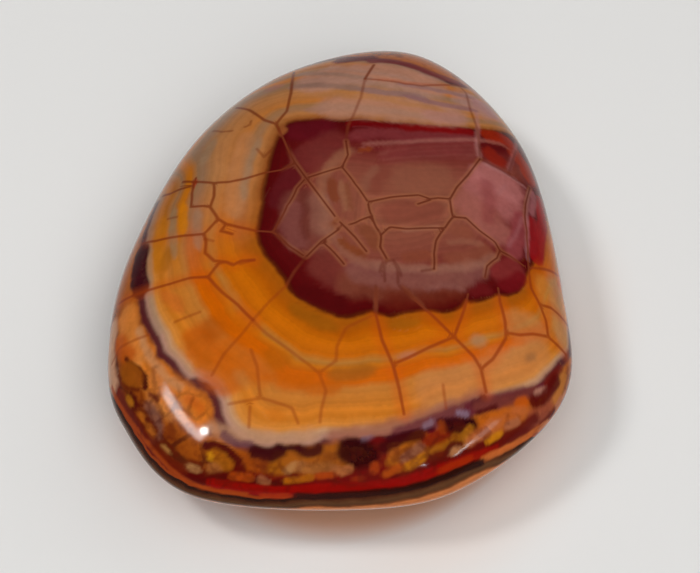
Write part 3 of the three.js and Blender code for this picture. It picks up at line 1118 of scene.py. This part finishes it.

# %% [markdown]
# Painted glow along the lower rim
#
# Light comes up through the thin lower edge, so it glows red in front and amber at the sides; these strokes
# paint that glow into the colour. Two thin black strokes of painted shade lie just below the red, where the
# grey band of painted shade begins.

# %% Painted glow and shade along the rim, and what all the strokes made
RIM_GLOW_AND_SHADE = [
    # painted glow: red along the front, amber along the left and the right
    ((142, 8, 2), 0.35, 0.3, 0.95,
     [(212, 484), (232, 487), (252, 490), (275, 492), (300, 491), (330, 489)]),
    ((140, 6, 2), 0.35, 0.3, 0.95,
     [(330, 489), (360, 488), (385, 486), (405, 482), (425, 476), (445, 468)]),
    ((142, 16, 6), 0.25, 0.25, 0.92, [(445, 468), (462, 461), (480, 455), (496, 449)]),
    ((162, 44, 4), 0.12, 0.2, 0.85, [(262, 496), (275, 497), (288, 496)]),
    ((160, 40, 4), 0.12, 0.2, 0.8, [(440, 471), (455, 464), (470, 459)]),
    ((104, 28, 6), 0.12, 0.2, 0.8,
     [(121, 399), (128, 409), (136, 419), (146, 432), (157, 446), (170, 459), (186, 471)]),
    ((160, 62, 8), 0.1, 0.22, 0.85, [(112, 388), (118, 402), (126, 415), (136, 429), (147, 443)]),
    ((160, 62, 8), 0.1, 0.22, 0.85,
     [(147, 443), (160, 458), (172, 470), (186, 480), (202, 488), (222, 492), (246, 495)]),
    ((192, 98, 40), 0.2, 0.2, 0.9, [(484, 459), (498, 453), (512, 446), (526, 438), (540, 429)]),
    ((194, 112, 66), 0.2, 0.2, 0.9, [(540, 429), (551, 419), (560, 407), (566, 395)]),
    # painted shade: thin black strokes where the grey band of painted shade begins
    ((48, 10, 4), 0.2, 0.2, 0.95, [(298, 496), (315, 497), (335, 496), (360, 495), (385, 492)]),
    ((44, 12, 6), 0.2, 0.2, 0.95,
     [(385, 492), (405, 489), (425, 484), (445, 477), (465, 469), (482, 463)]),
]
brush_on("rim", RIM_GLOW_AND_SHADE, NO_TAPER)
# the strokes hold stains, and along the lower rim painted glow and shade
store(stone_mesh, "stain_and_painted_light", "FLOAT_COLOR", np.column_stack([stain_and_painted_light_colour, np.ones(len(places))]))
store(stone_mesh, "stain cover", "FLOAT", stain_and_painted_light_cover)
print("strongest stain", round(float(stain_and_painted_light_cover.max()), 2))

# %% [markdown]
# Colours and patterns
#
# A colour on a screen isn't a share of light, so each is turned into one before a node gets it. Patterns
# read the stone's own coordinates in millimetres, and three noises, slow, medium and fine, are shared by
# all the layers, so that their edges waver together as they do in one stone.


# %% Helpers for colours
def light(colour):
    """A screen colour of 0 to 255 parts as a node's colour value."""
    return (*linear(colour).tolist(), 1.0)


def colour_value(colour):
    """A colour given as parts of 0 to 255, or a wire as it is."""
    return colour if isinstance(colour, Wire) else light(colour)


def mix(tree, amount, first, second):
    """first where amount is 0 and second where it is 1."""
    node = add_node(tree, "ShaderNodeMix", {"data_type": "RGBA", "clamp_factor": True}, {
        0: amount, 6: colour_value(first), 7: colour_value(second),
    })
    return output(node, 2)


def step_up(tree, wire, low, high):
    """A soft step from 0 at low to 1 at high."""
    node = add_node(tree, "ShaderNodeMapRange", {"interpolation_type": "SMOOTHSTEP"}, {
        "Value": wire, "From Min": low, "From Max": high,
    })
    return output(node)


def scaled(tree, vector, amount):
    """A vector made longer or shorter, or a colour made brighter or darker."""
    node = add_node(tree, "ShaderNodeVectorMath", {"operation": "SCALE"}, {0: vector, "Scale": amount})
    return output(node)


def noise(tree, where, size_mm, detail):
    """Soft noise with features of about this size. where is in millimetres."""
    node = add_node(tree, "ShaderNodeTexNoise", values={
        "Vector": where, "Scale": 1 / size_mm, "Detail": detail, "Roughness": 0.5,
    })
    return output(node)


def stored(tree, name, part="Fac"):
    """A value stored on the mesh."""
    node = add_node(tree, "ShaderNodeAttribute", {"attribute_name": name})
    return output(node, part)


print("white on a screen as light", light((255, 255, 255)))

# %% The stone's coordinates, noises and distances
# sizes and distances in a shader cell are millimetres
SLOW_SIZE, MEDIUM_SIZE, FINE_SIZE = 5.0, 1.6, 0.45
HEART_WAVER, SHADE_BAND_WAVER = 0.25, 0.5
polish.use_nodes = True
agate = polish.node_tree
agate.nodes.clear()
place = scaled(agate, output(add_node(agate, "ShaderNodeTexCoord"), "Object"), 1 / MM)
place_parts = parts_of(agate, place)
slow = noise(agate, place, SLOW_SIZE, 2.0)
medium = noise(agate, place, MEDIUM_SIZE, 3.0)
fine = noise(agate, place, FINE_SIZE, 3.0)
heart = stored(agate, "heart") + (medium - 0.5) * HEART_WAVER
purple = stored(agate, "purple line")
# the way to the edge of the grey band of painted shade and reflection underneath
skin = stored(agate, "skin") + (medium - 0.5) * SHADE_BAND_WAVER
print("agate nodes with the noises", len(agate.nodes))

# %% [markdown]
# The bands
#
# Between the heart and the purple line a place's share of the way picks its band, so the bands crowd
# together where the way is short, as they do in the real stone. Two sets of bands, a cool one for the top
# and a warm one for the lower left, fade into each other across the stone.


# %% Bands
def ramp(tree, wire, stops):
    """A colour that follows the wire from stop to stop."""
    node = add_node(tree, "ShaderNodeValToRGB", values={0: wire})
    elements = node.color_ramp.elements
    while len(elements) < len(stops):
        elements.new(0.5)
    for element, stop in zip(elements, stops):
        element.position = stop[0]
    for element, stop in zip(elements, stops):
        element.color = light(stop[1])
    return output(node)


def line_noise(tree, way, count, detail):
    """Noise along a way of length 1, with about this many features."""
    node = add_node(tree, "ShaderNodeTexNoise", {"noise_dimensions": "1D"}, {
        "W": way, "Scale": count, "Detail": detail,
    })
    return output(node)


COOL_BANDS = [
    (0.00, (134, 68, 24)), (0.05, (158, 96, 46)), (0.10, (178, 114, 62)), (0.15, (158, 112, 76)),
    (0.19, (160, 112, 72)), (0.24, (184, 112, 50)), (0.35, (182, 118, 66)), (0.46, (172, 116, 70)),
    (0.53, (150, 110, 80)), (0.58, (150, 110, 76)), (0.64, (188, 106, 14)), (0.68, (186, 106, 20)),
    (0.73, (148, 106, 70)), (0.80, (178, 102, 22)), (0.88, (180, 108, 44)), (0.94, (164, 118, 86)),
    (0.98, (146, 108, 92)),
]
WARM_BANDS = [
    (0.00, (104, 40, 6)), (0.03, (158, 82, 8)), (0.09, (160, 80, 6)), (0.14, (176, 86, 2)),
    (0.22, (194, 100, 4)), (0.33, (192, 98, 6)), (0.385, (172, 112, 44)), (0.42, (184, 104, 18)),
    (0.48, (196, 90, 0)), (0.55, (198, 92, 0)), (0.60, (186, 114, 44)), (0.70, (194, 114, 36)),
    (0.80, (202, 116, 28)), (0.87, (198, 126, 52)), (0.91, (192, 144, 104)), (0.96, (170, 126, 110)),
]
# keeps a share from dividing by nothing where two edges meet
JUST_OVER_NOTHING = 0.001
BAND_STREAKS, STREAK_DETAIL = 18.0, 4.0
COOL_TO_WARM, COOL_TO_WARM_WAVER = (-9.0, 5.0), 6.0
from_heart = heart.at_least(0.0)
band = from_heart / (from_heart + purple.size() + JUST_OVER_NOTHING)
wavy_band = band + (slow - 0.5) * 0.07 + (medium - 0.5) * 0.02
streaks = line_noise(agate, wavy_band + (fine - 0.5) * 0.012, BAND_STREAKS, STREAK_DETAIL)
lower_left = output(place_parts, "X") * 0.2 - output(place_parts, "Y")
warm = step_up(agate, lower_left + (slow - 0.5) * COOL_TO_WARM_WAVER, *COOL_TO_WARM)
bands = mix(agate, warm, ramp(agate, wavy_band, COOL_BANDS), ramp(agate, wavy_band, WARM_BANDS))
bands = scaled(agate, bands, 0.71 + 0.4 * streaks + 0.2 * medium)
print("stops in the cool and the warm bands", len(COOL_BANDS), len(WARM_BANDS))

# %% [markdown]
# The heart
#
# The heart is one layer seen deeper and deeper: nearly black red at its rim, and brown to mauve in the
# middle. Its depth picks the colour, and the same kind of streaks run round inside it.

# %% Heart
HEART_RAMP = [
    (0.00, (62, 3, 4)), (0.05, (80, 4, 6)), (0.28, (94, 13, 14)), (0.42, (112, 40, 34)),
    (0.60, (128, 64, 50)), (1.00, (140, 78, 58)),
]
HEART_DEPTH, HEART_STREAKS, HEART_EDGE = 9.0, 14.0, (0.34, -0.36)
depth = (0.0 - heart) / HEART_DEPTH
heart_streaks = line_noise(agate, depth + (slow - 0.5) * 0.1, HEART_STREAKS, STREAK_DETAIL)
core = scaled(agate, ramp(agate, depth, HEART_RAMP), 0.75 + 0.5 * heart_streaks)
colour = mix(agate, step_up(agate, heart, *HEART_EDGE), bands, core)
print("agate nodes with the heart", len(agate.nodes))

# %% [markdown]
# The crust
#
# The crust lies between the purple line and the grey band of painted shade. It darkens outwards, and small
# bubbles with dark rinds fill its outer half. Voronoi cells give the rinds, because bubbles that grow
# against each other meet in just such edges. A thin amber line ends it, above a black line of painted shade
# where the grey band begins.


# %% Crust
def cell_edges(tree, size_mm, randomness):
    """How far a place is from the nearest edge between cells of about this size, as a share of the size."""
    node = add_node(tree, "ShaderNodeTexVoronoi", {"feature": "DISTANCE_TO_EDGE"}, {
        "Vector": place, "Scale": 1 / size_mm, "Randomness": randomness,
    })
    return output(node, "Distance")


CRUST_RAMP = [
    (0.00, (146, 74, 34)), (0.12, (176, 92, 26)), (0.45, (158, 78, 14)), (0.70, (132, 58, 12)),
    (0.90, (96, 28, 8)), (1.00, (80, 12, 5)),
]
RIND, DARK_RED, AMBER_LINE, SHADE_LINE = (62, 14, 8), (104, 16, 5), (152, 58, 8), (60, 20, 10)
# where each colour starts and where it is full
RIND_EDGE, RIND_FROM, CRUST_EDGE = (0.14, 0.03), (0.3, 0.55), (-0.1, 0.1)
DARK_RED_EDGE, AMBER_EDGE, SHADE_LINE_EDGE = (1.7, 1.0), (0.45, 0.28), (0.14, 0.0)
BUBBLE_SIZE = 2.3
way_out = purple.at_least(0.0)
to_shade_band = (0.0 - skin).at_least(0.0)
crust_share = way_out / (way_out + to_shade_band + JUST_OVER_NOTHING)
crust = ramp(agate, crust_share + (medium - 0.5) * 0.3, CRUST_RAMP)
crust = scaled(agate, crust, 0.7 + 0.6 * medium)
rind = step_up(agate, cell_edges(agate, BUBBLE_SIZE, 0.9) + (fine - 0.5) * 0.1, *RIND_EDGE)
rind = rind * step_up(agate, crust_share, *RIND_FROM)
crust = mix(agate, rind * 0.75, crust, RIND)
crust = mix(agate, step_up(agate, to_shade_band + (medium - 0.5) * 0.8, *DARK_RED_EDGE) * 0.8, crust, DARK_RED)
crust = mix(agate, step_up(agate, to_shade_band + (fine - 0.5) * 0.25, *AMBER_EDGE), crust, AMBER_LINE)
# painted shade: a black line where the grey band of painted shade begins
crust = mix(agate, step_up(agate, to_shade_band, *SHADE_LINE_EDGE), crust, SHADE_LINE)
colour = mix(agate, step_up(agate, purple, *CRUST_EDGE), colour, crust)
print("agate nodes with the crust", len(agate.nodes))

# %% [markdown]
# The band of painted shade, and the purple line
#
# Outside the crust a dark grey band is painted where the lower side turns down: painted shade, and the
# reflection of the shaded floor. Under it the stone shows its own colour again. The purple line ends the
# bands, with a pale glow on its inner side. Both could be brushed on, but they go all round the stone, so
# a rule from their distance is shorter and stays sharp.

# %% Painted shade band and purple line
# painted shade and reflection: dark grey where the lower side turns down, then the stone's own orange
# further under
SHADE_BAND_RAMP = [
    (0.00, (44, 12, 0)), (0.08, (54, 18, 2)), (0.16, (82, 38, 14)), (0.28, (98, 60, 32)),
    (0.38, (92, 54, 28)), (0.44, (124, 66, 30)), (0.52, (208, 122, 66)), (0.80, (200, 118, 60)),
    (1.00, (190, 112, 62)),
]
PALE_GLOW, DEEP_PURPLE = (156, 114, 92), (78, 18, 28)
SHADE_BAND_DEPTH, SHADE_BAND_EDGE, LINE_WAVER, LINE_WIDTH = 3.0, (-0.05, 0.05), 0.5, (0.6, 0.1)
GLOW_WIDTH, GLOW_SIDE = (0.8, 0.2), (0.5, -0.1)
# the grey band, painted as shade and as the reflection of the shaded floor
shade_band_colour = scaled(agate, ramp(agate, skin.at_least(0.0) / SHADE_BAND_DEPTH, SHADE_BAND_RAMP), 0.8 + 0.4 * medium)
colour = mix(agate, step_up(agate, skin, *SHADE_BAND_EDGE), colour, shade_band_colour)
to_line = (purple + (medium - 0.5) * LINE_WAVER).size()
glow = step_up(agate, to_line, *GLOW_WIDTH) * step_up(agate, purple, *GLOW_SIDE)
colour = mix(agate, glow * 0.65, colour, PALE_GLOW)
colour = mix(agate, step_up(agate, to_line, *LINE_WIDTH) * 0.92, colour, DEEP_PURPLE)
print("agate nodes with the skin and the line", len(agate.nodes))

# %% [markdown]
# Stains and small drops
#
# The brushed stains, with the painted glow and shade along the lower rim, lie over the layers. Over them
# the crust gets its smallest drops, which are too many to brush: cells with dark rinds, and dark clouds,
# but only where the crust is broken, not at the left.

# %% Stains, and painted glow and shade, over the layers
DROP_RIND, DROP_CLOUD = (78, 16, 6), (88, 18, 6)
DROP_SIZE, DROP_EDGE, DROP_PATCHES, CLOUD_PATCHES = 1.5, (0.2, 0.0), (0.4, 0.6), (0.5, 0.68)
PAST_LINE, SHORT_OF_SHADE_BAND, PAST_LEFT_END = (0.3, 1.2), (-0.3, -0.9), (-12.0, -8.0)
# brushed stains, with the painted glow and shade along the lower rim
stain_and_painted_light_paint = scaled(agate, stored(agate, "stain_and_painted_light", "Color"), 0.8 + 0.4 * medium)
colour = mix(agate, stored(agate, "stain cover") * (0.92 + 0.2 * fine), colour, stain_and_painted_light_paint)
in_crust = step_up(agate, purple, *PAST_LINE) * step_up(agate, skin, *SHORT_OF_SHADE_BAND)
rightward = output(place_parts, "X") - output(place_parts, "Y") * 0.5
in_crust = in_crust * step_up(agate, rightward, *PAST_LEFT_END)
drop_edge = cell_edges(agate, DROP_SIZE, 1.0) + (fine - 0.5) * 0.2
drop_rinds = step_up(agate, drop_edge, *DROP_EDGE) * step_up(agate, slow, *DROP_PATCHES) * in_crust
colour = mix(agate, drop_rinds * 0.45, colour, DROP_RIND)
colour = mix(agate, step_up(agate, medium, *CLOUD_PATCHES) * in_crust * 0.5, colour, DROP_CLOUD)
colour = scaled(agate, colour, 0.9 + 0.2 * fine)
print("agate nodes with the stains", len(agate.nodes))

# %% [markdown]
# Cracks
#
# The cracks cut every layer, so they come last. Deep in the heart the light catches their sides, which
# shows as a paler halo, and in the warm bands rust has spread from them. Where the camera doesn't look,
# Voronoi cells as large as the real ones carry the net on round the stone.


# %% Cracks
def crack_way(tree, name):
    """Millimetres to the nearest crack. The stored way to it falls to nothing on the crack itself, and the
    stored gap keeps it from doing so half way between two cracks, where the way turns round."""
    length = add_node(tree, "ShaderNodeVectorMath", {"operation": "LENGTH"}, {
        0: stored(tree, "to " + name, "Vector"),
    })
    return (output(length, "Value") / MM).at_least(stored(tree, name + " gap") - GAP_SLACK)


GAP_SLACK = 0.2
HALO, RUST = (172, 108, 66), (200, 82, 8)
COOL_CRACK, WARM_CRACK, RIM_CRACK, DEEP_CRACK = (116, 44, 16), (146, 56, 14), (122, 52, 28), (92, 30, 16)
CRACK_CELL_SIZE = 5.5
IN_HEART, DEEP_IN_HEART = (0.3, -0.3), (-0.8, -3.0)
HALO_WIDTH, RUST_WIDTH, FAINT_WIDTH = (0.42, 0.1), (1.1, 0.1), (0.26, 0.02)
# these two are shares, of the crack's half width and of a cell
CRACK_EDGE, FAR_CRACK_EDGE = (1.0, 0.15), (0.03, 0.012)
crack = crack_way(agate, "crack")
faint_crack = crack_way(agate, "faint crack")
in_heart = step_up(agate, heart, *IN_HEART)
deep = step_up(agate, heart, *DEEP_IN_HEART)
crack_colour = mix(agate, warm, COOL_CRACK, WARM_CRACK)
crack_colour = mix(agate, in_heart, crack_colour, RIM_CRACK)
crack_colour = mix(agate, deep, crack_colour, DEEP_CRACK)
colour = mix(agate, step_up(agate, crack, *HALO_WIDTH) * deep * 0.32, colour, HALO)
rust = step_up(agate, crack, *RUST_WIDTH) * (1.0 - in_heart) * warm * 0.35
colour = mix(agate, rust, colour, RUST)
half_crack = (0.17 + 0.16 * slow) * (1.0 - 0.35 * in_heart)
colour = mix(agate, step_up(agate, faint_crack, *FAINT_WIDTH) * 0.5, colour, crack_colour)
colour = mix(agate, step_up(agate, crack / half_crack, *CRACK_EDGE) * 0.8, colour, crack_colour)
far_crack = cell_edges(agate, CRACK_CELL_SIZE, 1.0) + (medium - 0.5) * 0.02
far_crack = step_up(agate, far_crack, *FAR_CRACK_EDGE) * stored(agate, "unseen")
colour = mix(agate, far_crack * 0.85, colour, crack_colour)
print("agate nodes with the cracks", len(agate.nodes))

# %% [markdown]
# The polish
#
# Agate takes a high polish, so the surface is one smooth shader with a low roughness. A very slight bump
# keeps its reflections from being perfect, and a little light goes a millimetre into the stone, more red
# than blue, which warms the edge a little. Most of the warm glow along the lower rim is painted into the
# colour.

# %% Polish
POLISH_WAVE, AGATE_IOR, LIGHT_DEPTH = 0.02 * MM, 1.54, 1.0 * MM
bump = add_node(agate, "ShaderNodeBump", values={
    "Strength": 0.25, "Distance": POLISH_WAVE, "Height": slow + fine * 0.15,
})
shader = add_node(agate, "ShaderNodeBsdfPrincipled", values={
    "Base Color": colour, "Roughness": 0.07 + 0.06 * medium, "Normal": output(bump),
    "IOR": AGATE_IOR, "Subsurface Weight": 0.08, "Subsurface Scale": LIGHT_DEPTH,
    "Subsurface Radius": (1.0, 0.45, 0.25),
})
add_node(agate, "ShaderNodeOutputMaterial", values={"Surface": output(shader)})
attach(stone, "root")
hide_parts(STONE)
print("agate nodes", len(agate.nodes))

# %% [markdown]
# The floor
#
# The stone lies on a pale matt sheet, which isn't part of it. Some light leaves the stone through its thin
# lower edge and warms the sheet there. Tracing that light would take far longer than it is worth, so the
# sheet is given a warm tone close to the stone, and a weaker one in its shadow.

# %% Floor
SHEET_HALF = 0.6
SHEET_COLOUR, WARM_COLOUR = (228, 227, 225), (208, 166, 138)
# the oval that the warm tone follows, a little past the stone's own half sizes
OVAL_X, OVAL_Y = 20.0 * MM, 24.2 * MM
# where the tones end and where they are full, as squares of the way out to the oval and as ways across it
WARM_REACH, WARM_SIDE = (1.08, 0.84), (0.1, 0.8)
SHADOW_REACH, SHADOW_SIDE, SHADOW_WARMTH = (1.9, 1.0), (0.5, 1.2), 0.3
floor_mesh = bpy.data.meshes.new("floor")
sheet_corners = [(SHEET_HALF * x, SHEET_HALF * y, 0) for x, y in ((-1, -1), (1, -1), (1, 1), (-1, 1))]
floor_mesh.from_pydata(sheet_corners, [], [(0, 1, 2, 3)])
floor = bpy.data.objects.new("floor", floor_mesh)
bpy.context.scene.collection.objects.link(floor)
sheet = bpy.data.materials.new("pale_sheet")
sheet.use_nodes = True
paper = sheet.node_tree
on_sheet = parts_of(paper, output(add_node(paper, "ShaderNodeTexCoord"), "Object"))
across = output(on_sheet, "X") / OVAL_X
along_oval = output(on_sheet, "Y") / OVAL_Y
out_from_stone = across * across + along_oval * along_oval
towards_front = across * 0.6 - along_oval
near_edge = step_up(paper, out_from_stone, *WARM_REACH) * step_up(paper, towards_front, *WARM_SIDE)
towards_shadow = across * 0.8 - along_oval * 0.6
in_shadow = step_up(paper, out_from_stone, *SHADOW_REACH) * step_up(paper, towards_shadow, *SHADOW_SIDE)
warmed = near_edge.at_least(in_shadow * SHADOW_WARMTH)
surface = paper.nodes["Principled BSDF"]
feed(paper, surface.inputs["Base Color"], mix(paper, warmed, SHEET_COLOUR, WARM_COLOUR))
feed(paper, surface.inputs["Roughness"], 0.9)
floor_mesh.materials.append(sheet)
floor.visible_glossy = False
print("floor nodes", len(paper.nodes))

# %% [markdown]
# The lights
#
# A bright sheet from the upper left draws the soft shadow, and three weaker ones fill it. They could all
# show in the polish, but the photograph has only small bright windows there. So the soft lights are kept
# out of the polish, and small ones that light nothing else are put where the polish shows them.


# %% Lights
def area_light(name, towards, distance, size, radiance, along_way=None, in_polish=False):
    """A light sheet, out in the direction towards, facing the stone. The soft ones are kept out of the
    polish, as a polarising filter does, and the small windows show in the polish alone."""
    data = bpy.data.lights.new(name, "AREA")
    data.shape = "RECTANGLE"
    data.size, data.size_y = size
    data.energy = radiance * math.pi * size[0] * size[1]
    made = bpy.data.objects.new(name, data)
    bpy.context.scene.collection.objects.link(made)
    out = Vector(towards).normalized()
    side = Vector(along_way or (0, 1, 0)).cross(out).cross(out).normalized()
    made.location = out * distance
    made.rotation_euler = Matrix((side, out.cross(side), out)).transposed().to_euler()
    made.visible_glossy = in_polish
    made.visible_diffuse = not in_polish
    return made


WINDOW_DISTANCE = 0.5
soft_lights = [
    area_light("key", (-0.8, 0.12, 1.1), 0.6, (0.12, 0.12), radiance=23.0),
    area_light("overhead", (0.2, -0.3, 1.0), 0.9, (1.0, 1.0), radiance=1.56),
    area_light("front", (0.2, -1.0, 0.7), 0.7, (0.5, 0.5), radiance=2.2),
    area_light("right", (0.8, 0.5, 0.8), 0.7, (0.5, 0.5), radiance=1.2),
]
windows = [
    area_light(name, towards, WINDOW_DISTANCE, size, radiance, along_way, in_polish=True)
    for name, towards, size, radiance, along_way in (
        ("tall window", (-0.66, -0.16, 0.73), (0.3, 0.05), 8.0, (0.316, -0.545, 0.164)),
        ("lamp", (-0.48, -0.315, 0.82), (0.03, 0.03), 60.0, None),
        ("low window", (0.675, -0.56, 0.478), (0.07, 0.014), 9.0, (0.061, 0.11, 0.043)),
        ("low glow", (0.74, -0.44, 0.505), (0.09, 0.04), 1.6, (0.135, 0.233, 0.043)),
        ("small lamp", (0.387, -0.75, 0.537), (0.01, 0.01), 24.0, None),
    )
]
print("soft lights", len(soft_lights), "lights in the polish", len(windows))

# %% [markdown]
# The room
#
# The polish also mirrors the room: faint all round, a little brighter from the floor below, and brightest
# far behind the stone, where the photograph's upper rim is pale.

# %% Room
ROOM_COLOUR = (1, 0.965, 0.93, 1)
ROOM_STRENGTH, BELOW_STRENGTH, BEHIND_STRENGTH = 0.03, 0.08, 0.45
BELOW_FROM, BEHIND_FROM = (0.02, -0.1), (0.5, 0.95)
world = bpy.data.worlds.new("room")
bpy.context.scene.world = world
world.use_nodes = True
room = world.node_tree
direction = parts_of(room, output(add_node(room, "ShaderNodeTexCoord"), "Generated"))
background = room.nodes["Background"]
below = step_up(room, output(direction, "Z"), *BELOW_FROM)
back_and_down = output(direction, "Y") * 0.57 - output(direction, "Z") * 0.82
behind = step_up(room, back_and_down, *BEHIND_FROM)
feed(room, background.inputs["Color"], ROOM_COLOUR)
strength = ROOM_STRENGTH + BELOW_STRENGTH * below + BEHIND_STRENGTH * behind
feed(room, background.inputs["Strength"], strength)
bpy.context.scene.view_settings.view_transform = "Standard"
print("room nodes", len(room.nodes))

# %% [markdown]
# Sizes, and the end
#
# The finished stone has to be the size of the packed one.
